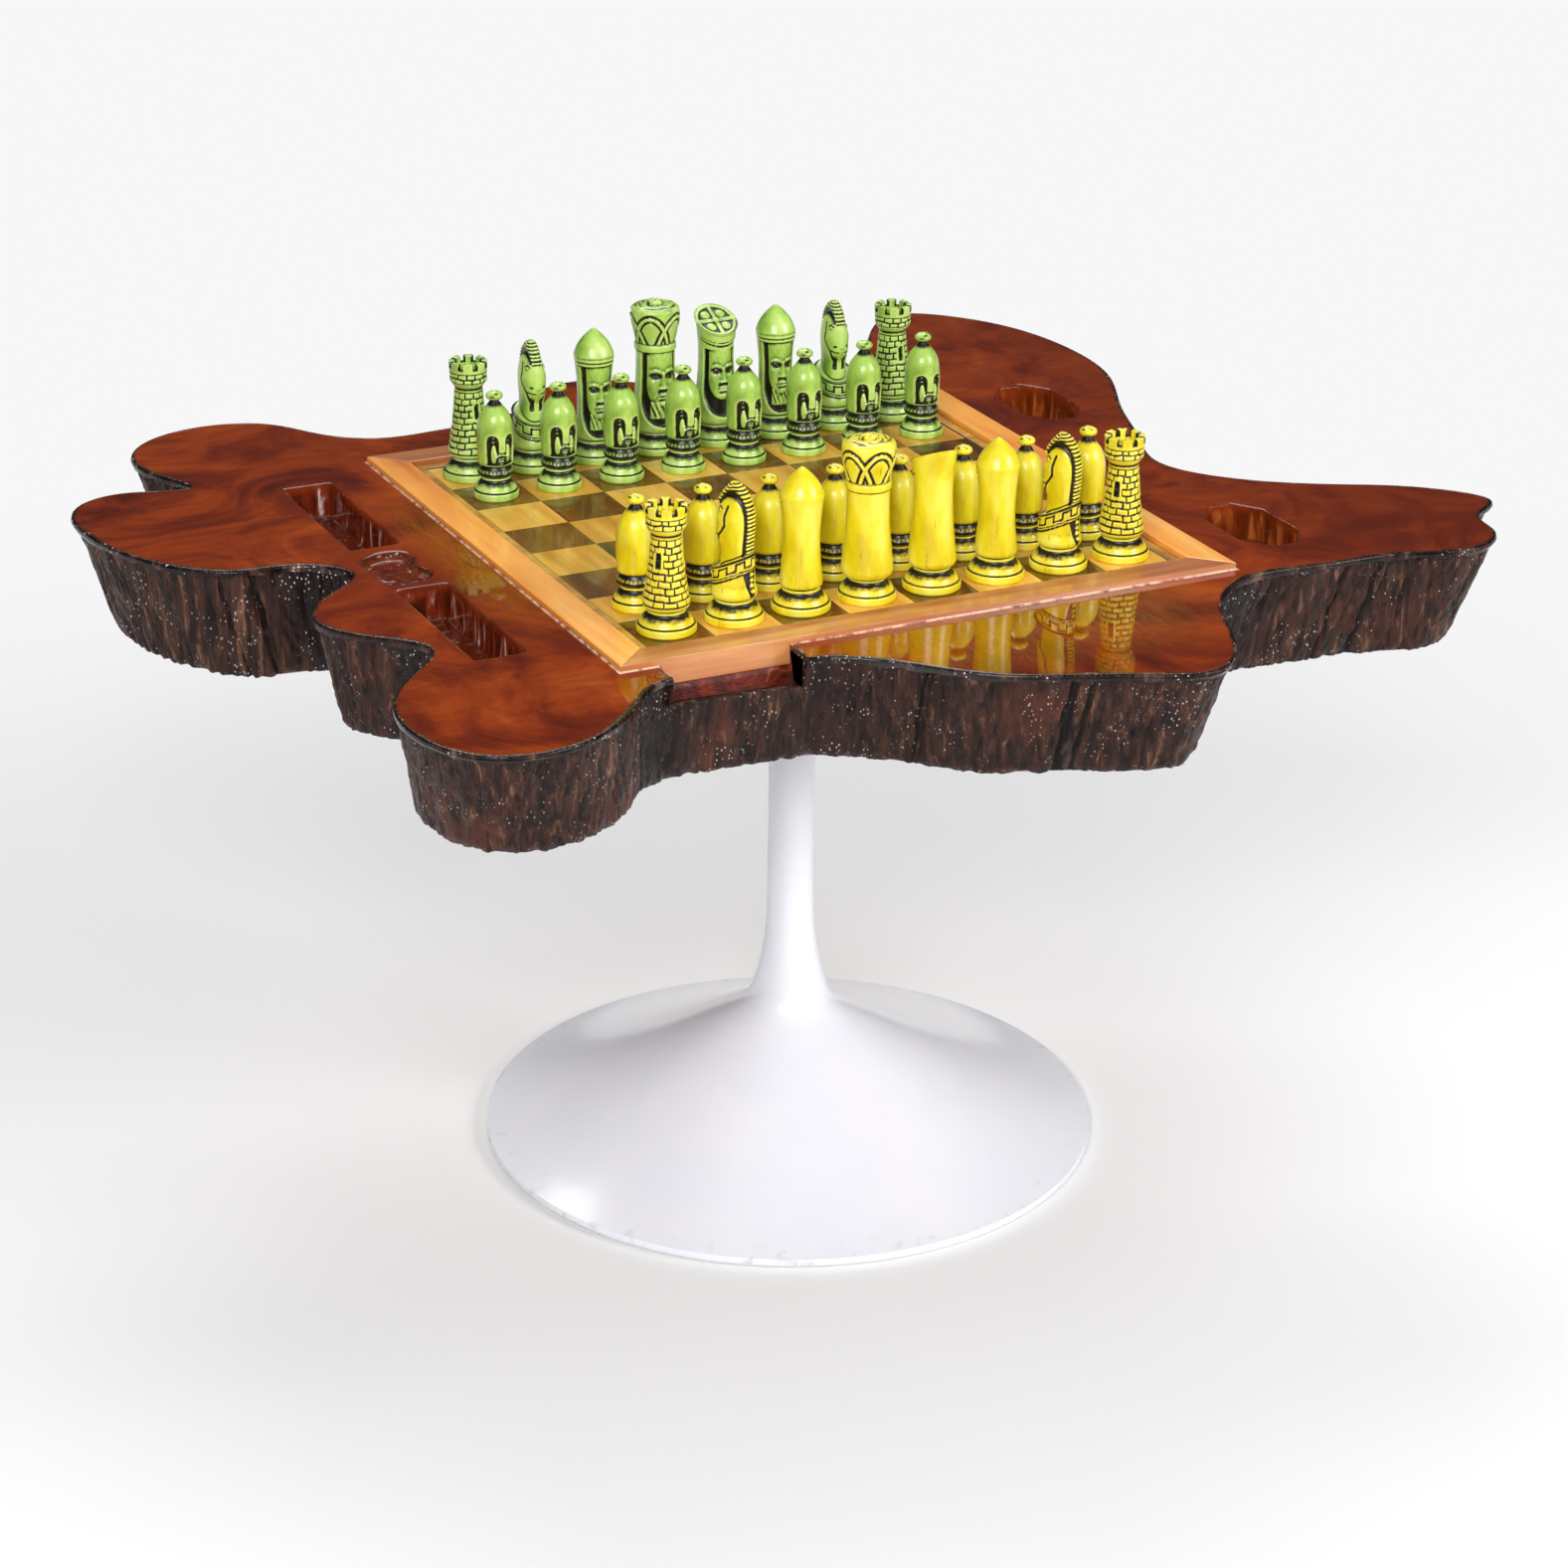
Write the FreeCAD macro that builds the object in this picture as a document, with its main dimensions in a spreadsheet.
"""Chess table with an inlaid board, and the chess set that stands on it.

A live-edge slab, coated in poured resin, carries a framed chessboard let into its top and four
pockets beside it. It is screwed to a steel plate on a hollow cast pedestal, held together by one
long tie rod. Millimetres, +Z up. The origin is on the floor, on the pedestal's axis, and the
board's files run along +Y, with the yellow side nearest -Y.
"""

import FreeCAD, Part
import math
import os

import Sketcher
from FreeCAD import Placement, Rotation, Vector

SIZES = [
    # heights
    ("table_height", 505.5, "floor to the top of the board's rails"),
    ("slab_thickness", 84.0, "slab and resin together"),
    ("resin_thickness", 3.0, "poured coat on the slab's top"),
    # board
    ("square_size", 50.8, "side of one square"),
    ("border_width", 9.5, "strip between the squares and the rails"),
    ("rail_width", 25.4, "rail, across the top"),
    ("rail_height", 19.0, "rail, full height"),
    ("rail_stand", 5.0, "rail top above the slab's surface"),
    ("field_drop", 5.0, "squares below the rail top"),
    ("tile_thickness", 3.0, "veneer squares"),
    ("border_lip", 1.5, "border strip above the squares"),
    ("board_x", -6.0, "board centre from the pedestal's axis"),
    ("board_y", 0.0, "board centre from the pedestal's axis"),
    # slab
    ("slab_length", 970.0, "slab along X"),
    ("slab_width", 823.0, "slab along Y"),
    ("bark_thickness", 10.0, "bark left on the slab's edge"),
    ("bark_gap", 0.2, "glue line between the bark and the wood"),
    ("bay_margin", 7.0, "wood kept between the bays and the board or the pockets"),
    ("lean_along", 23.0, "underside's edge inside the top's, at the slab's left and right ends"),
    ("lean_across", 34.0, "underside's edge inside the top's, at the slab's front and back"),
    ("void_depth", 6.0, "natural hollow between the long pockets"),
    ("notch_length", 96.0, "gap in the front edge, where the front rail shows"),
    ("notch_from_corner", 28.0, "from the board's left edge to the gap"),
    ("notch_ledge", 10.0, "wall below the front rail in the gap"),
    ("notch_reach", 60.0, "cut of the gap, from the rail out past the bark"),
    # pockets
    ("pocket_depth", 27.0, "all four pockets"),
    ("tray_width", 37.0, "long pockets beside the board"),
    ("tray_length", 145.0, "long pockets beside the board"),
    ("tray_gap", 41.5, "board's left edge to the long pockets"),
    ("rear_tray_y", 133.0, "rear long pocket's centre, from the board's centre"),
    ("front_tray_y", -103.0, "front long pocket's centre, from the board's centre"),
    ("glass_pocket_width", 49.0, "eight-sided pockets"),
    ("glass_pocket_length", 91.0, "eight-sided pockets"),
    ("glass_pocket_corner", 15.0, "cut across each corner, along X"),
    ("glass_pocket_slant", 21.0, "cut across each corner, along Y"),
    ("glass_pocket_gap", 37.0, "board's right edge to the eight-sided pockets"),
    ("rear_glass_y", 160.0, "rear eight-sided pocket's centre, from the board's centre"),
    ("front_glass_y", -160.0, "front eight-sided pocket's centre, from the board's centre"),
    # pedestal and fixings
    ("base_diameter", 470.0, "pedestal's foot"),
    ("base_edge", 5.0, "height of the foot's rim"),
    ("sweep_height", 205.0, "foot's rim up to the straight neck"),
    ("stem_diameter", 35.0, "pedestal's neck, at its narrowest"),
    ("head_diameter", 64.0, "pedestal's top flange"),
    ("head_height", 60.0, "flare from the neck up to the flange"),
    ("flange_rim", 5.0, "height of the flange's upright edge"),
    ("guide_length", 40.0, "rod's bore in the pedestal's head"),
    ("guide_taper", 12.0, "from the bore out to the hollow neck"),
    ("casting_wall", 6.0, "pedestal's wall at the neck"),
    ("foot_wall", 9.0, "pedestal's wall at the foot, measured straight down, and its rim's flat"),
    ("rim_bevel", 3.0, "from the rim's flat in to the hollow"),
    ("rim_bevel_rise", 1.0, "from the rim's flat up to the hollow"),
    ("web_height", 96.0, "underside of the web that the tie rod pulls on"),
    ("web_thickness", 12.0, "web inside the pedestal"),
    ("plate_diameter", 254.0, "mounting plate"),
    ("plate_thickness", 6.0, "mounting plate"),
    ("hub_diameter", 38.0, "threaded hub on the mounting plate"),
    ("hub_height", 14.0, "hub above the mounting plate"),
    ("hub_clearance", 1.0, "slab's hole around and above the hub"),
    ("rod_diameter", 12.0, "tie rod"),
    ("rod_clearance", 0.5, "tie rod in the pedestal's bores, on the radius"),
    ("rod_end", 8.0, "tie rod past the nut"),
    ("washer_diameter", 24.0, "washer under the web"),
    ("washer_thickness", 2.5, "washer under the web"),
    ("nut_across_flats", 19.0, "nut on the tie rod"),
    ("nut_height", 10.0, "nut on the tie rod"),
    ("screw_count", 6, "wood screws through the plate"),
    ("screw_circle", 210.0, "diameter of the circle of screws"),
    ("screw_diameter", 6.0, "wood screws"),
    ("screw_length", 38.0, "wood screws, under the head"),
    ("screw_head", 12.0, "screw head's diameter"),
    ("screw_head_height", 3.5, "screw head's height"),
    ("screw_head_taper", 1.0, "screw head's radius, narrower at the bottom by this"),
    ("ring_height", 3.0, "gliding ring under the foot"),
    ("ring_width", 6.0, "gliding ring under the foot"),
    ("ring_inset", 1.5, "ring inside the foot's edge"),
    # chess pieces
    ("officer_foot", 41.6, "foot diameter of the back-row pieces"),
    ("pawn_foot", 34.0, "foot diameter of the pawns"),
    ("foot_rise", 17.0, "height of the turned foot"),
    ("king_height", 119.0, "king"),
    ("queen_height", 106.5, "queen"),
    ("bishop_height", 102.5, "bishop"),
    ("knight_height", 98.5, "knight"),
    ("rook_height", 90.5, "rook"),
    ("pawn_height", 81.5, "pawn"),
    ("knight_width", 18.0, "knight's neck, side to side"),
    ("muzzle_width", 9.0, "knight's muzzle, side to side"),
    ("merlon_gap", 4.6, "slots in the rook's battlement"),
    ("crown_slant", 20.0, "front of the queen's crown below its back"),
]
BOARD_SQUARES = 8
FILES = "abcdefgh"


class Length:
    """A number, together with the sheet expression that gives it."""

    def __init__(self, value, text):
        self.value = float(value)
        self.text = text

    def __add__(self, other):
        other = length(other)
        return Length(self.value + other.value, f"({self.text} + {other.text})")

    def __sub__(self, other):
        other = length(other)
        return Length(self.value - other.value, f"({self.text} - {other.text})")

    def __mul__(self, factor):
        factor = length(factor)
        return Length(self.value * factor.value, f"({self.text} * {factor.text})")

    def __truediv__(self, factor):
        factor = length(factor)
        return Length(self.value / factor.value, f"({self.text} / {factor.text})")

    def __neg__(self):
        return Length(-self.value, f"(0 - {self.text})")


def length(item):
    if isinstance(item, Length):
        return item
    return Length(item, f"({item:.6f})")


class Sheet:
    """The spreadsheet's cells as attributes, each one a Length."""


doc = FreeCAD.newDocument("ChessTable")
cells = doc.addObject("Spreadsheet::Sheet", "Sizes")
size = Sheet()
for row, (alias, number, note) in enumerate(SIZES, start=1):
    cells.set(f"A{row}", alias)
    cells.set(f"B{row}", str(number))
    cells.set(f"C{row}", note)
    cells.setAlias(f"B{row}", alias)
    setattr(size, alias, Length(number, f"Sizes.{alias}"))
doc.recompute()

# ---------------------------------------------------------------- places shared by the pieces

field = size.square_size * BOARD_SQUARES
inner_half = field / 2 + size.border_width
outer_half = inner_half + size.rail_width
board_left = size.board_x - outer_half
board_right = size.board_x + outer_half
board_front = size.board_y - outer_half
board_back = size.board_y + outer_half

slab_surface = size.table_height - size.rail_stand
wood_top = slab_surface - size.resin_thickness
slab_underside = slab_surface - size.slab_thickness
rail_seat = size.table_height - size.rail_height
field_top = size.table_height - size.field_drop
panel_top = field_top - size.tile_thickness
notch_floor = rail_seat - size.notch_ledge
pocket_floor = slab_surface - size.pocket_depth

plate_underside = slab_underside - size.plate_thickness
flange_top = plate_underside
stem_radius = size.stem_diameter / 2
rod_bore = size.rod_diameter / 2 + size.rod_clearance


# ---------------------------------------------------------------- helpers


def bind(item, path, value):
    """Ties one property of an object to the sheet."""
    item.setExpression(path, length(value).text)


def new_body(label):
    body = doc.addObject("PartDesign::Body", label)
    body.Label = label
    return body


def place(item, x=0, y=0, z=0):
    for axis, value in (("x", x), ("y", y), ("z", z)):
        bind(item, f"Placement.Base.{axis}", value)


def plane_of(body, role):
    return next(f for f in body.Origin.OriginFeatures if f.Role == role)


def new_sketch(body, name, role="XY_Plane", lift=0):
    """A sketch on one of the body's own origin planes, lifted along the plane's normal."""
    sketch = body.newObject("Sketcher::SketchObject", name)
    sketch.AttachmentSupport = (plane_of(body, role), [""])
    sketch.MapMode = "FlatFace"
    bind(sketch, "AttachmentOffset.Base.z", lift)
    return sketch


def pin_vertex(sketch, edge, vertex, x, y):
    """Holds an edge's start or end at a place given by the sheet."""
    for kind, axis, value in (("DistanceX", -2, length(x)), ("DistanceY", -1, length(y))):
        if abs(value.value) < 1e-9:
            sketch.addConstraint(Sketcher.Constraint("PointOnObject", edge, vertex, axis))
            continue
        row = Sketcher.Constraint(kind, -1, 1, edge, vertex, value.value)
        number = sketch.addConstraint(row)
        sketch.setExpression(f"Constraints[{number}]", value.text)


def vector(point):
    return Vector(length(point[0]).value, length(point[1]).value, 0)


def smooth(points, closed=False):
    curve = Part.BSplineCurve()
    curve.interpolate([vector(p) for p in points], PeriodicFlag=closed)
    return curve


def draw(sketch, stretches):
    """A closed outline of stretches: two points make a line, more make a smooth curve."""
    for points in stretches:
        edge = Part.LineSegment(*map(vector, points)) if len(points) == 2 else smooth(points)
        sketch.addGeometry(edge, False)
    count = len(stretches)
    for number, points in enumerate(stretches):
        following = (number + 1) % count
        sketch.addConstraint(Sketcher.Constraint("Coincident", number, 2, following, 1))
        pin_vertex(sketch, number, 1, *points[0])


def polygon(sketch, corners):
    """A closed outline of straight edges through the corners."""
    draw(sketch, [[a, b] for a, b in zip(corners, corners[1:] + corners[:1])])


def rectangle(sketch, left, right, front, back):
    polygon(sketch, [(left, front), (right, front), (right, back), (left, back)])


def circle(sketch, radius, x=0, y=0):
    centre = vector((x, y))
    number = sketch.addGeometry(Part.Circle(centre, Vector(0, 0, 1), length(radius).value), False)
    pin_vertex(sketch, number, 3, x, y)
    row = sketch.addConstraint(Sketcher.Constraint("Radius", number, length(radius).value))
    sketch.setExpression(f"Constraints[{row}]", length(radius).text)


def pad(body, sketch, name, height, both_sides=False):
    feature = body.newObject("PartDesign::Pad", name)
    feature.Profile = sketch
    feature.Midplane = both_sides
    bind(feature, "Length", height)
    return feature


def cut_down(body, sketch, name, depth, both_sides=False):
    """Cuts from the sketch's plane towards -Z, or evenly to both of its sides."""
    feature = body.newObject("PartDesign::Pocket", name)
    feature.Profile = sketch
    feature.Midplane = both_sides
    bind(feature, "Length", depth)
    return feature


def turn(body, sketch, name):
    feature = body.newObject("PartDesign::Revolution", name)
    feature.Profile = sketch
    feature.ReferenceAxis = (sketch, ["V_Axis"])
    feature.Angle = 360
    return feature


def around(body, feature, name, count):
    """Copies a feature evenly around the body's Z axis."""
    pattern = body.newObject("PartDesign::PolarPattern", name)
    pattern.Originals = [feature]
    pattern.Axis = (plane_of(body, "Z_Axis"), [""])
    pattern.Angle = 360
    pattern.Occurrences = count
    body.Tip = pattern
    return pattern


def box(name, corner, sides):
    solid = doc.addObject("Part::Box", name)
    for path, value in zip(("Length", "Width", "Height"), sides):
        bind(solid, path, value)
    place(solid, *corner)
    return solid


def group(label, solids):
    """Several loose solids that share one node."""
    compound = doc.addObject("Part::Compound", label)
    compound.Label = label
    compound.Links = solids
    return compound


# ---------------------------------------------------------------- slab, bark and resin

# The tree's own outline, lobe by lobe and anticlockwise, with the bays between the lobes.
LOBES = [
    [(-168, 292), (-212, 292), (-246, 314), (-280, 360), (-345, 374), (-388, 350), (-401, 288)],
    [(-384, 240)],
    [(-432, 249), (-476, 226), (-482, 168), (-455, 92), (-412, 54), (-362, 44)],
    [(-340, 18)],
    [(-374, -22), (-394, -66), (-369, -107)],
    [(-343, -138)],
    [(-380, -193), (-406, -270), (-378, -332), (-322, -340), (-262, -297)],
    [(-230, -265), (-165, -262), (-108, -268)],
    [(-62, -302), (-22, -342), (61, -381), (118, -399), (160, -354), (188, -292)],
    [(230, -255), (300, -255)],
    [(355, -258), (415, -271), (449, -243), (456, -214), (484, -190), (464, -150), (400, -108)],
    [(336, -62), (307, -10), (324, 50)],
    [(350, 122), (383, 200), (389, 290), (352, 390), (303, 424), (258, 384), (185, 284)],
    [(127, 264)],
    [(50, 308), (-5, 361), (-48, 357), (-98, 308)],
]
EDGE = [point for lobe in LOBES for point in lobe]


def spread(places, wanted, near_low, near_high):
    """Spreads the lobes so that the edge has the wanted size, past the bays beside the board."""
    share = wanted.value / (max(places) - min(places))
    spread_out = []
    for place_now in places:
        kept = (near_high if place_now > 0 else near_low).value
        reach = max(places) if place_now > 0 else -min(places)
        beyond = abs(place_now) - kept
        if beyond > 0:
            beyond *= (reach * share - kept) / (reach - kept)
            place_now = math.copysign(kept + beyond, place_now)
        spread_out.append(place_now)
    return spread_out


def edge_points(inset, shares=(1.0, 1.0)):
    """The slab's edge, moved inwards by the inset and drawn together by the shares."""
    margin = size.bark_thickness + size.bark_gap + size.bay_margin
    left = spread([p[0] for p in EDGE], size.slab_length, margin - tray_left, glass_right + margin)
    front = spread([p[1] for p in EDGE], size.slab_width, margin - board_front, board_back + margin)
    knots = [Vector(x, y, 0) for x, y in zip(left, front)]
    edge = smooth(knots, closed=True)
    moved = []
    for knot in knots:
        tangent = edge.tangent(edge.parameter(knot))[0]
        inwards = Vector(-tangent.y, tangent.x, 0)
        moved.append(knot + inwards * inset)
    return [(p.x * shares[0], p.y * shares[1]) for p in moved]


def edge_sketch(body, name, lift, inset, shares):
    """One closed smooth curve, drawn as a stretch for every second point."""
    sketch = new_sketch(body, name, lift=lift)
    points = edge_points(inset, shares)
    whole = smooth(points, closed=True)
    places = [whole.parameter(vector(point)) for point in points[2::2]]
    places = [whole.FirstParameter] + places + [whole.LastParameter]
    for begin, end in zip(places, places[1:]):
        stretch = whole.copy()
        stretch.segment(begin, end)
        sketch.addGeometry(stretch, False)
    return sketch


def drawn_in(z):
    """How far the slab's plan has shrunk at a height, along X and along Y."""
    depth = (slab_surface - z).value / size.slab_thickness.value
    along = 2 * size.lean_along.value / size.slab_length.value
    across = 2 * size.lean_across.value / size.slab_width.value
    return 1 - along * depth, 1 - across * depth


def edge_loft(body, kind, name, top, bottom, inset):
    """The slab's tapering form, added or taken away, between two heights."""
    upper = edge_sketch(body, f"{name}_upper", top, inset.value, drawn_in(top))
    lower = edge_sketch(body, f"{name}_lower", bottom, inset.value, drawn_in(bottom))
    loft = body.newObject(f"PartDesign::{kind}Loft", name)
    loft.Profile = upper
    loft.Sections = [lower]
    loft.Ruled = True
    return loft


def octagon(sketch, left, right, front, back):
    corner = size.glass_pocket_corner
    slant = size.glass_pocket_slant
    polygon(
        sketch,
        [
            (left + corner, front),
            (right - corner, front),
            (right, front + slant),
            (right, back - slant),
            (right - corner, back),
            (left + corner, back),
            (left, back - slant),
            (left, front + slant),
        ],
    )


tray_right = board_left - size.tray_gap
tray_left = tray_right - size.tray_width
glass_left = board_right + size.glass_pocket_gap
glass_right = glass_left + size.glass_pocket_width
TRAYS = {"rear": size.rear_tray_y, "front": size.front_tray_y}
GLASSES = {"rear": size.rear_glass_y, "front": size.front_glass_y}


def cut_board_seat(body, name, top, floor):
    seat = new_sketch(body, f"{name}_board_seat_plan", lift=top)
    rectangle(seat, board_left, board_right, board_front, board_back)
    cut_down(body, seat, f"{name}_board_seat", top - floor)


def cut_pockets(body, name, top, floor):
    """The long pockets on the left and the eight-sided ones on the right, cut from the top down."""
    for end, offset in TRAYS.items():
        middle = size.board_y + offset
        half = size.tray_length / 2
        plan = new_sketch(body, f"{name}_{end}_tray_plan", lift=top)
        rectangle(plan, tray_left, tray_right, middle - half, middle + half)
        cut_down(body, plan, f"{name}_{end}_tray", top - floor)
    for end, offset in GLASSES.items():
        middle = size.board_y + offset
        half = size.glass_pocket_length / 2
        plan = new_sketch(body, f"{name}_{end}_glass_plan", lift=top)
        octagon(plan, glass_left, glass_right, middle - half, middle + half)
        cut_down(body, plan, f"{name}_{end}_glass_pocket", top - floor)


def cut_notch(body, name, top, bottom):
    """The gap in the front edge, from the front rail's face out through the bark."""
    start = board_left + size.notch_from_corner
    end = start + size.notch_length
    plan = new_sketch(body, f"{name}_notch_plan", lift=top)
    rectangle(plan, start, end, board_front - size.notch_reach, board_front)
    cut_down(body, plan, f"{name}_notch", top - bottom)


# The natural hollow, from the long pockets' left side and the middle of the board.
VOID = [(1, 38), (31, 42), (35, 34), (32, 14), (35, -8), (21, -20), (3, -18), (-2, 8)]


def cut_void(body, name, top, bottom):
    plan = new_sketch(body, f"{name}_void_plan", lift=top)
    corners = [(tray_left + x, size.board_y + y) for x, y in VOID]
    plan.addGeometry(smooth(corners, closed=True), False)
    cut_down(body, plan, f"{name}_void", top - bottom)


def make_slab():
    body = new_body("slab")
    inset = size.bark_thickness + size.bark_gap
    edge_loft(body, "Additive", "slab_form", wood_top, slab_underside, inset)
    cut_board_seat(body, "slab", wood_top, rail_seat)
    cut_pockets(body, "slab", wood_top, pocket_floor)
    cut_void(body, "slab", wood_top, slab_surface - size.void_depth)
    cut_notch(body, "slab", wood_top, notch_floor)
    cut_fixings(body)
    return body


def make_bark():
    body = new_body("bark_edge")
    edge_loft(body, "Additive", "bark_form", wood_top, slab_underside, length(0))
    edge_loft(body, "Subtractive", "bark_core", wood_top, slab_underside, size.bark_thickness)
    cut_board_seat(body, "bark", wood_top, rail_seat)
    cut_notch(body, "bark", wood_top, notch_floor)
    return body


def make_resin():
    body = new_body("resin_coat")
    edge_loft(body, "Additive", "resin_form", slab_surface, wood_top, length(0))
    cut_board_seat(body, "resin", slab_surface, wood_top)
    cut_pockets(body, "resin", slab_surface, wood_top)
    cut_void(body, "resin", slab_surface, wood_top)
    cut_notch(body, "resin", slab_surface, wood_top)
    return body


def screw_places():
    """The wood screws' places, evenly round the plate."""
    count = int(size.screw_count.value)
    radius = size.screw_circle / 2
    turns = [2 * math.pi * number / count for number in range(count)]
    return [(radius * math.cos(turned), radius * math.sin(turned)) for turned in turns]


def cut_fixings(body):
    """Pilot holes for the wood screws and a hole for the plate's hub, up into the slab."""
    pilots = new_sketch(body, "slab_pilot_plan", lift=slab_underside)
    for x, y in screw_places():
        circle(pilots, size.screw_diameter / 2, x, y)
    drilled = cut_down(body, pilots, "slab_pilots", size.screw_length - size.plate_thickness)
    drilled.Reversed = True
    hub = new_sketch(body, "slab_hub_plan", lift=slab_underside)
    circle(hub, size.hub_diameter / 2 + size.hub_clearance)
    sunk = cut_down(body, hub, "slab_hub_hole", size.hub_height + size.hub_clearance)
    sunk.Reversed = True


# ---------------------------------------------------------------- board


def make_frame(prefix, inner, outer, bottom, top):
    """Four mitred strips around the board, each as a list of its plan's corners."""
    sides = {
        "front": [(-outer, -outer), (outer, -outer), (inner, -inner), (-inner, -inner)],
        "right": [(outer, -outer), (outer, outer), (inner, inner), (inner, -inner)],
        "back": [(outer, outer), (-outer, outer), (-inner, inner), (inner, inner)],
        "left": [(-outer, outer), (-outer, -outer), (-inner, -inner), (-inner, inner)],
    }
    strips = []
    for side, corners in sides.items():
        label = f"{prefix}_{side}"
        body = new_body(label)
        plan = new_sketch(body, f"{label}_plan", lift=bottom)
        polygon(plan, [(size.board_x + x, size.board_y + y) for x, y in corners])
        pad(body, plan, f"{label}_stock", top - bottom)
        strips.append(body)
    return strips


def make_panel():
    body = new_body("board_panel")
    plan = new_sketch(body, "panel_plan", lift=rail_seat)
    rectangle(
        plan,
        size.board_x - inner_half,
        size.board_x + inner_half,
        size.board_y - inner_half,
        size.board_y + inner_half,
    )
    pad(body, plan, "panel_stock", panel_top - rail_seat)
    return body


def square_corner(index, middle):
    return middle - field / 2 + size.square_size * index


def make_squares():
    """Veneer squares, dark at the near left corner."""
    shades = {"dark_squares": [], "light_squares": []}
    for column in range(BOARD_SQUARES):
        for rank in range(BOARD_SQUARES):
            shade = "light_squares" if (column + rank) % 2 else "dark_squares"
            corner = (square_corner(column, size.board_x), square_corner(rank, size.board_y), panel_top)
            sides = (size.square_size, size.square_size, size.tile_thickness)
            shades[shade].append(box(f"square_{FILES[column]}{rank + 1}", corner, sides))
    return [group(label, tiles) for label, tiles in shades.items()]


# ---------------------------------------------------------------- pedestal and fixings


# The trumpet's outside: shares of the foot's radius, and of the height up to the straight neck.
TRUMPET = [
    (1.000, 0.000),
    (0.850, 0.054),
    (0.640, 0.156),
    (0.430, 0.278),
    (0.300, 0.361),
    (0.200, 0.429),
    (0.145, 0.483),
    (0.115, 0.561),
]
# The end of that sweep, as shares of the neck's radius and of the same height.
NECK = [(1.12, 0.73), (1.00, 1.00)]
# The flare below the flange: shares of the flange's radius, and of the flare's height downwards.
FLARE = [(0.60, 0.57), (0.78, 0.20)]
# Which of the sweep's points the hollow follows, and where its ceiling meets the web.
HOLLOW = (5, 3, 2)
HOLLOW_TOP = 0.13


def make_pedestal():
    """A one-piece trumpet-shaped casting, hollow underneath, with a web for the tie rod."""
    body = new_body("pedestal")
    foot = size.base_diameter / 2
    wall = size.casting_wall
    head = size.head_diameter / 2
    bottom = size.ring_height
    edge = bottom + size.base_edge
    web_top = size.web_height + size.web_thickness
    sweep = [(foot * r, edge + size.sweep_height * z) for r, z in TRUMPET]
    sweep += [(stem_radius * r, edge + size.sweep_height * z) for r, z in NECK]
    neck = (stem_radius, flange_top - size.head_height)
    flare = [neck] + [(head * r, flange_top - size.head_height * z) for r, z in FLARE]
    flare += [(head, flange_top - size.flange_rim)]
    flat = foot - size.foot_wall
    inside = [(foot * HOLLOW_TOP, size.web_height)]
    inside += [(sweep[number][0], sweep[number][1] - size.foot_wall) for number in HOLLOW]
    inside += [(flat - size.rim_bevel, bottom + size.rim_bevel_rise)]
    guide_end = flange_top - size.guide_length
    bore = stem_radius - wall
    profile = new_sketch(body, "pedestal_profile", "XZ_Plane")
    draw(
        profile,
        [
            [(flat, bottom), (foot, bottom)],
            [(foot, bottom), (foot, edge)],
            sweep,
            [sweep[-1], neck],
            flare,
            [flare[-1], (head, flange_top)],
            [(head, flange_top), (rod_bore, flange_top)],
            [(rod_bore, flange_top), (rod_bore, guide_end)],
            [(rod_bore, guide_end), (bore, guide_end - size.guide_taper)],
            [(bore, guide_end - size.guide_taper), (bore, web_top)],
            [(bore, web_top), (rod_bore, web_top)],
            [(rod_bore, web_top), (rod_bore, size.web_height)],
            [(rod_bore, size.web_height), inside[0]],
            inside,
            [inside[-1], (flat, bottom)],
        ],
    )
    turn(body, profile, "pedestal_casting")
    return body


def make_ring():
    body = new_body("foot_ring")
    outer = size.base_diameter / 2 - size.ring_inset
    plan = new_sketch(body, "ring_plan")
    circle(plan, outer)
    circle(plan, outer - size.ring_width)
    pad(body, plan, "ring_strip", size.ring_height)
    return body


def make_plate():
    """Steel disc under the slab, with a threaded hub that stands in the slab's clearance hole."""
    body = new_body("mounting_plate")
    plan = new_sketch(body, "plate_plan", lift=plate_underside)
    circle(plan, size.plate_diameter / 2)
    circle(plan, size.rod_diameter / 2)
    for x, y in screw_places():
        circle(plan, size.screw_diameter / 2, x, y)
    pad(body, plan, "plate_disc", size.plate_thickness)
    hub = new_sketch(body, "hub_plan", lift=slab_underside)
    circle(hub, size.hub_diameter / 2)
    circle(hub, size.rod_diameter / 2)
    pad(body, hub, "plate_hub", size.hub_height)
    return body


def make_rod():
    """Tie rod from just below the nut up to the top of the plate's hub."""
    body = new_body("tie_rod")
    bottom = size.web_height - size.washer_thickness - size.nut_height - size.rod_end
    plan = new_sketch(body, "rod_plan", lift=bottom)
    circle(plan, size.rod_diameter / 2)
    pad(body, plan, "rod_length", slab_underside + size.hub_height - bottom)
    return body


def make_washer():
    body = new_body("rod_washer")
    plan = new_sketch(body, "washer_plan", lift=size.web_height - size.washer_thickness)
    circle(plan, size.washer_diameter / 2)
    circle(plan, rod_bore)
    pad(body, plan, "washer_disc", size.washer_thickness)
    return body


def make_nut():
    body = new_body("rod_nut")
    plan = new_sketch(body, "nut_plan", lift=size.web_height - size.washer_thickness - size.nut_height)
    reach = size.nut_across_flats / math.sqrt(3)
    corners = []
    for number in range(6):
        turned = math.radians(60 * number)
        corners.append((reach * math.cos(turned), reach * math.sin(turned)))
    polygon(plan, corners)
    circle(plan, size.rod_diameter / 2)
    pad(body, plan, "nut_stock", size.nut_height)
    return body


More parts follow.
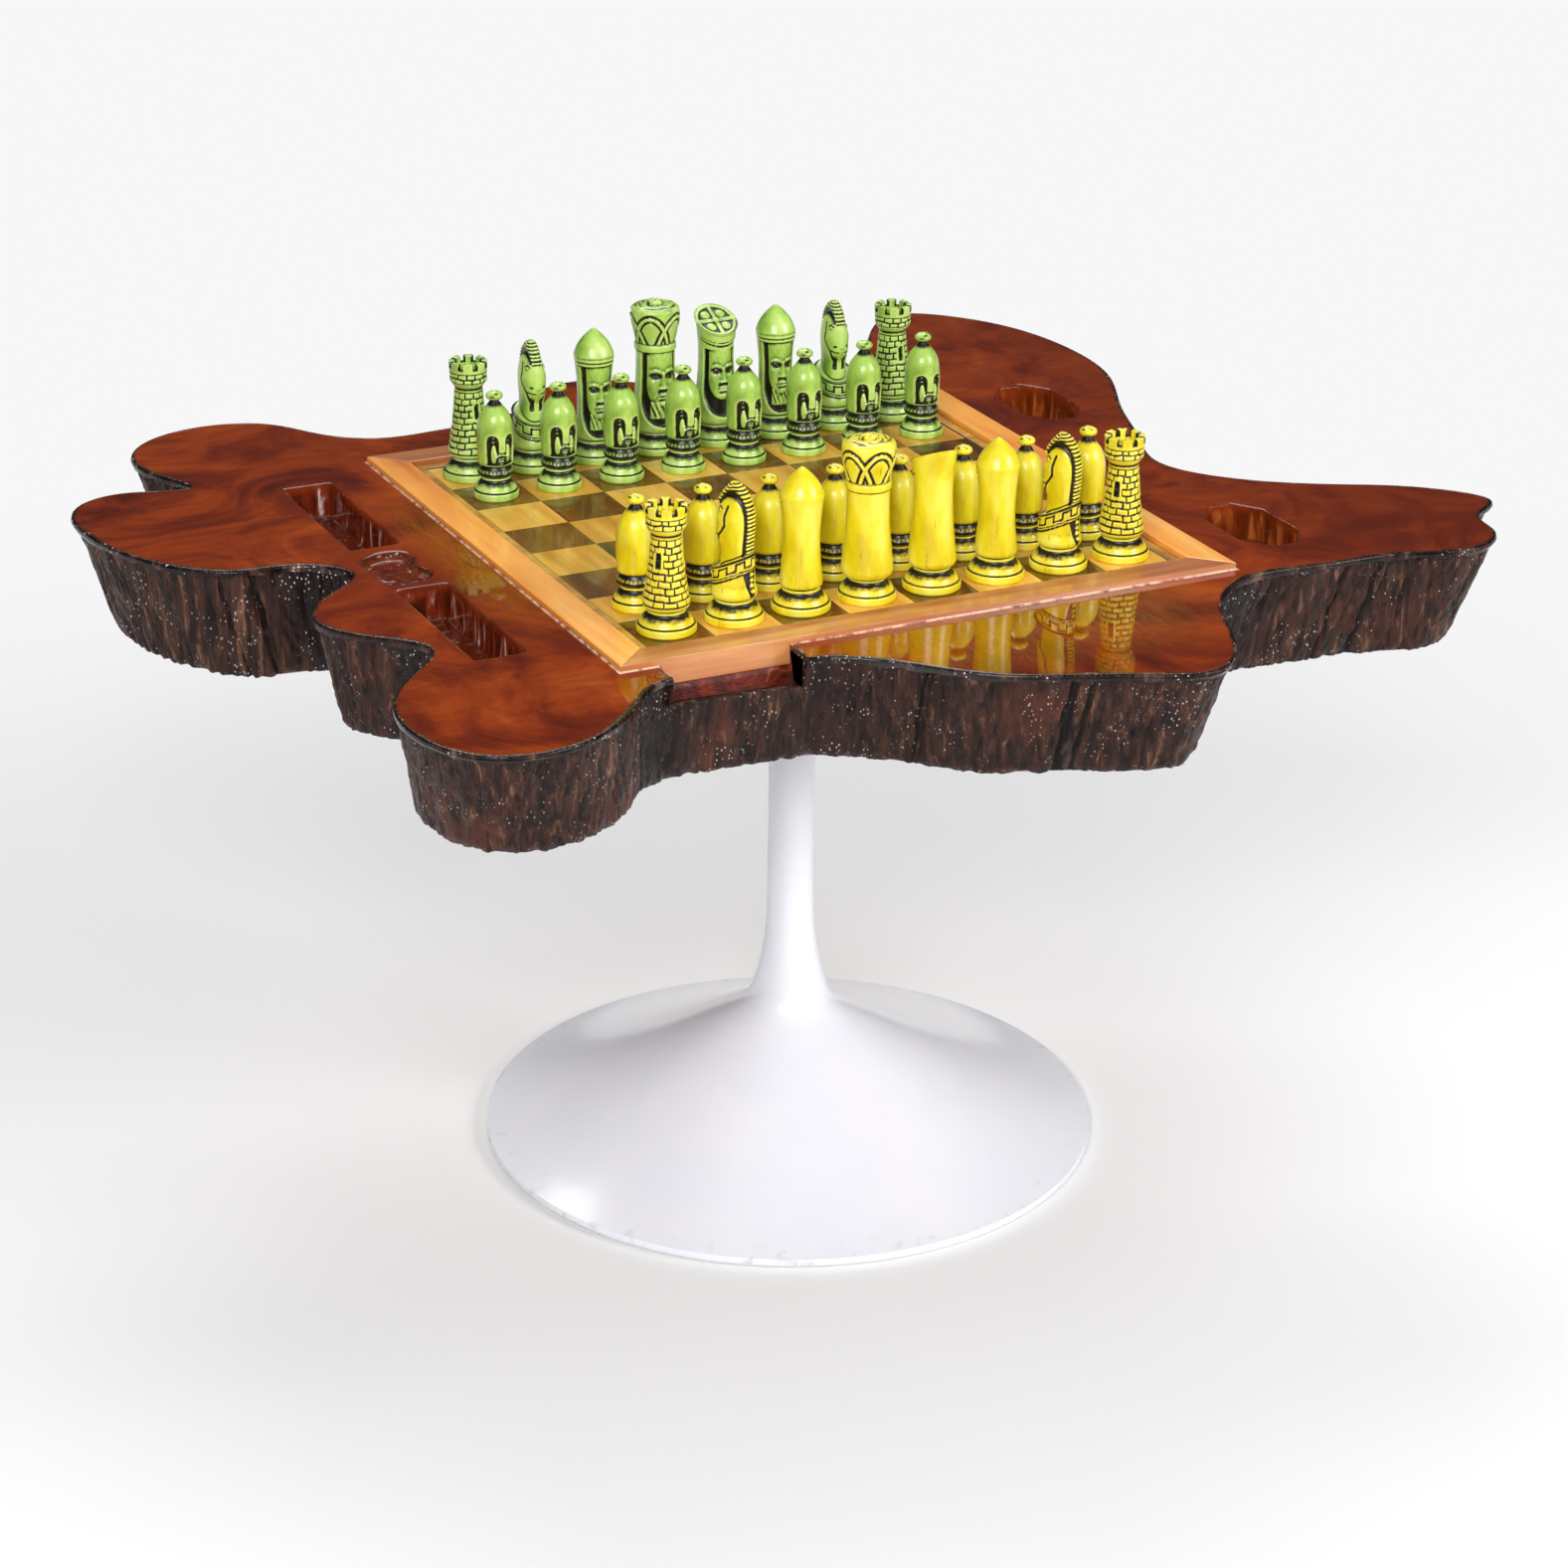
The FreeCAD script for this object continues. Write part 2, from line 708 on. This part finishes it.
def make_screws():
    """Wood screws with pan heads under the plate, their shanks up through it into the slab."""
    screws = []
    for number, (x, y) in enumerate(screw_places()):
        shank = doc.addObject("Part::Cylinder", f"screw_shank_{number + 1}")
        bind(shank, "Radius", size.screw_diameter / 2)
        bind(shank, "Height", size.screw_length)
        place(shank, x, y, plate_underside)
        head = doc.addObject("Part::Cone", f"screw_head_{number + 1}")
        bind(head, "Radius1", size.screw_head / 2 - size.screw_head_taper)
        bind(head, "Radius2", size.screw_head / 2)
        bind(head, "Height", size.screw_head_height)
        place(head, x, y, plate_underside - size.screw_head_height)
        screw = doc.addObject("Part::Fuse", f"screw_{number + 1}")
        screw.Base = head
        screw.Tool = shank
        screws.append(screw)
    return group("plate_screws", screws)


# ---------------------------------------------------------------- chess pieces

# A turned profile above the foot: each point is a share of the foot's radius and of the
# height above the foot. Two points make a line, more make a smooth curve.
KING_PROFILE = [
    [(0.56, 0.00), (0.80, 0.01)],
    [(0.80, 0.01), (0.88, 0.05)],
    [(0.88, 0.05), (0.82, 0.18), (0.73, 0.40), (0.71, 0.62)],
    [(0.71, 0.62), (0.77, 0.63)],
    [(0.77, 0.63), (0.77, 0.67)],
    [(0.77, 0.67), (0.71, 0.68)],
    [(0.71, 0.68), (0.82, 0.78), (0.91, 0.89), (0.86, 0.94), (0.62, 0.965), (0.28, 0.97)],
    [(0.28, 0.97), (0.29, 0.98), (0.22, 0.995)],
    [(0.22, 0.995), (0.00, 1.00)],
]
QUEEN_PROFILE = [
    [(0.56, 0.00), (0.76, 0.01)],
    [(0.76, 0.01), (0.83, 0.05)],
    [(0.83, 0.05), (0.76, 0.20), (0.67, 0.45), (0.66, 0.68), (0.73, 0.86), (0.81, 1.00)],
    [(0.81, 1.00), (0.00, 1.00)],
]
BISHOP_PROFILE = [
    [(0.56, 0.00), (0.68, 0.01)],
    [(0.68, 0.01), (0.72, 0.05)],
    [(0.72, 0.05), (0.67, 0.16), (0.62, 0.36), (0.66, 0.61), (0.74, 0.77)],
    [(0.74, 0.77), (0.64, 0.835), (0.47, 0.90), (0.24, 0.96), (0.10, 0.99)],
    [(0.10, 0.99), (0.00, 1.00)],
]
KNIGHT_PLINTH = [
    [(0.56, 0.00), (0.72, 0.01)],
    [(0.72, 0.01), (0.78, 0.05)],
    [(0.78, 0.05), (0.78, 0.15), (0.75, 0.29)],
    [(0.75, 0.29), (0.62, 0.34)],
    [(0.62, 0.34), (0.00, 0.36)],
]
ROOK_PROFILE = [
    [(0.56, 0.00), (0.72, 0.01)],
    [(0.72, 0.01), (0.79, 0.05)],
    [(0.79, 0.05), (0.69, 0.22), (0.57, 0.48), (0.50, 0.73)],
    [(0.50, 0.73), (0.66, 0.79)],
    [(0.66, 0.79), (0.69, 1.00)],
    [(0.69, 1.00), (0.50, 1.00)],
    [(0.50, 1.00), (0.48, 0.88)],
    [(0.48, 0.88), (0.00, 0.88)],
]
# The rook's slots: where they start, and how deep they are, in the same shares.
SLOT_START = 0.30
SLOT_DEPTH = 0.10
MERLONS = 8
PAWN_PROFILE = [
    [(0.58, 0.00), (0.76, 0.01)],
    [(0.76, 0.01), (0.80, 0.04), (0.74, 0.07)],
    [(0.74, 0.07), (0.62, 0.13)],
    [(0.62, 0.13), (0.76, 0.15)],
    [(0.76, 0.15), (0.80, 0.36), (0.79, 0.55), (0.62, 0.73), (0.30, 0.845), (0.18, 0.89)],
    [(0.18, 0.89), (0.36, 0.925), (0.35, 0.96), (0.20, 0.99)],
    [(0.20, 0.99), (0.00, 1.00)],
]
# The horse's head and neck, seen from its side: shares of the foot's radius forwards, and of the
# height above the foot.
HORSE_OUTLINE = [
    [(-0.56, 0.30), (-0.61, 0.48), (-0.65, 0.62), (-0.64, 0.74), (-0.48, 0.90), (-0.14, 0.99)],
    [(-0.14, 0.99), (0.05, 0.985)],
    [(0.05, 0.985), (0.36, 0.90), (0.55, 0.75), (0.63, 0.60), (0.65, 0.54), (0.58, 0.50)],
    [(0.58, 0.50), (0.42, 0.45), (0.44, 0.37), (0.46, 0.30)],
    [(0.46, 0.30), (-0.56, 0.30)],
]
# Its upper half narrows to the forelock: shares of the neck's half width, and of the height above
# the foot.
HORSE_CROWN = [(1.00, 0.60), (0.93, 0.74), (0.72, 0.83), (0.42, 0.92), (0.16, 0.99)]
# The cheeks narrow towards the muzzle above this share of the height above the foot.
HORSE_JAW = 0.46


def foot_profile(radius):
    """The turned foot that every piece stands on."""
    rise = size.foot_rise
    return [
        [(0, 0), (radius * 0.96, 0)],
        [(radius * 0.96, 0), (radius, rise * 0.06)],
        [(radius, rise * 0.06), (radius, rise * 0.24)],
        [(radius, rise * 0.24), (radius * 0.985, rise * 0.32), (radius * 0.95, rise * 0.38)],
        [(radius * 0.95, rise * 0.38), (radius * 0.89, rise * 0.42)],
        [
            (radius * 0.89, rise * 0.42),
            (radius * 0.84, rise * 0.58),
            (radius * 0.66, rise * 0.80),
            (radius * 0.58, rise * 0.92),
        ],
        [(radius * 0.58, rise * 0.92), (radius * 0.56, rise)],
    ]


def above_foot(stretches, radius, height):
    """Scales a profile given in shares to a piece's own radius and height."""
    rise = size.foot_rise
    return [[(radius * r, rise + (height - rise) * z) for r, z in points] for points in stretches]


def turned_piece(label, profile, radius, height):
    body = new_body(label)
    outline = foot_profile(radius) + above_foot(profile, radius, height)
    outline[-1][-1] = (0, outline[-1][-1][1])
    outline.append([outline[-1][-1], (0, 0)])
    sketch = new_sketch(body, f"{label}_profile", "XZ_Plane")
    draw(sketch, outline)
    turn(body, sketch, f"{label}_turning")
    return body


def make_king(label):
    return turned_piece(label, KING_PROFILE, size.officer_foot / 2, size.king_height)


def make_queen(label):
    """The crown flares, and its top slants down towards the front."""
    radius = size.officer_foot / 2
    body = turned_piece(label, QUEEN_PROFILE, radius, size.queen_height)
    top = size.queen_height
    plan = new_sketch(body, f"{label}_slant_plan", "XZ_Plane")
    polygon(plan, [(-radius, top), (radius, top - size.crown_slant), (radius, top + 1), (-radius, top + 1)])
    cut_down(body, plan, f"{label}_slant", radius * 3, both_sides=True)
    return body


def make_bishop(label):
    return turned_piece(label, BISHOP_PROFILE, size.officer_foot / 2, size.bishop_height)


def make_knight(label):
    """A horse's head and neck on a turned drum, narrowing to the muzzle and to the forelock."""
    radius = size.officer_foot / 2
    body = turned_piece(label, KNIGHT_PLINTH, radius, size.knight_height)
    sketch = new_sketch(body, f"{label}_head_outline", "XZ_Plane")
    draw(sketch, above_foot(HORSE_OUTLINE, radius, size.knight_height))
    pad(body, sketch, f"{label}_head", size.knight_width, both_sides=True)
    wide = size.knight_width / 2
    narrow = size.muzzle_width / 2
    jaw = size.foot_rise + (size.knight_height - size.foot_rise) * HORSE_JAW
    for side, sign in (("left", 1), ("right", -1)):
        cheek = new_sketch(body, f"{label}_{side}_cheek_plan", lift=jaw)
        edge = [(0, wide * sign), (radius, narrow * sign), (radius, wide * 2 * sign), (0, wide * 2 * sign)]
        polygon(cheek, edge)
        shaved = cut_down(body, cheek, f"{label}_{side}_cheek", size.knight_height)
        shaved.Reversed = True
        crown = new_sketch(body, f"{label}_{side}_crown_plan", "YZ_Plane")
        curve = above_foot([HORSE_CROWN], wide * sign, size.knight_height)[0]
        outer = wide * 2 * sign
        low, high = curve[0], curve[-1]
        corners = [high, (outer, high[1]), (outer, low[1]), low]
        draw(crown, [curve] + [[a, b] for a, b in zip(corners, corners[1:])])
        cut_down(body, crown, f"{label}_{side}_crown", radius * 3, both_sides=True)
    return body


def make_rook(label):
    """A round tower, its parapet cut into eight merlons."""
    radius = size.officer_foot / 2
    body = turned_piece(label, ROOK_PROFILE, radius, size.rook_height)
    plan = new_sketch(body, f"{label}_slot_plan", lift=size.rook_height)
    half = size.merlon_gap / 2
    rectangle(plan, radius * SLOT_START, radius, -half, half)
    slot = cut_down(body, plan, f"{label}_slot", (size.rook_height - size.foot_rise) * SLOT_DEPTH)
    around(body, slot, f"{label}_battlement", MERLONS)
    return body


def make_pawn(label):
    return turned_piece(label, PAWN_PROFILE, size.pawn_foot / 2, size.pawn_height)


BACK_ROW = [
    ("rook", make_rook),
    ("knight", make_knight),
    ("bishop", make_bishop),
    ("king", make_king),
    ("queen", make_queen),
    ("bishop", make_bishop),
    ("knight", make_knight),
    ("rook", make_rook),
]


def stand(body, column, rank):
    """Puts a piece in the middle of its square."""
    x = square_corner(column, size.board_x) + size.square_size / 2
    y = square_corner(rank, size.board_y) + size.square_size / 2
    place(body, x, y, field_top)


def make_side(colour, back_rank, pawn_rank, heading, knight_heading):
    pieces = []
    for column, (kind, maker) in enumerate(BACK_ROW):
        pieces.append(maker(f"{colour}_{kind}_{FILES[column]}"))
        turned = knight_heading if kind == "knight" else heading
        pieces[-1].Placement = Placement(Vector(), Rotation(Vector(0, 0, 1), turned))
        stand(pieces[-1], column, back_rank)
    for column in range(BOARD_SQUARES):
        pieces.append(make_pawn(f"{colour}_pawn_{FILES[column]}"))
        stand(pieces[-1], column, pawn_rank)
    return pieces


# ---------------------------------------------------------------- assembly

parts = [make_slab(), make_bark(), make_resin(), make_panel()]
parts += make_frame("rail", inner_half, outer_half, rail_seat, size.table_height)
parts += [group("border_strips", make_frame("border", field / 2, inner_half, panel_top, field_top + size.border_lip))]
parts += make_squares()
parts += [make_pedestal(), make_ring(), make_plate(), make_rod(), make_washer(), make_nut(), make_screws()]
parts += make_side("yellow", 0, 1, 90, 120)
parts += make_side("green", 7, 6, 270, 270)
doc.recompute()

for item in doc.Objects:
    if "Invalid" in item.State or "Error" in item.State:
        raise RuntimeError(f"{item.Label} failed: {item.State}")

os.makedirs("parts", exist_ok=True)
for part in parts:
    if part.Shape.isNull() or not part.Shape.isValid() or not part.Shape.Solids:
        raise RuntimeError(f"{part.Label} has no valid solid")
    part.Shape.exportStep(f"parts/{part.Label}.step")
    print(part.Label, len(part.Shape.Solids), round(part.Shape.Volume), part.Shape.BoundBox)
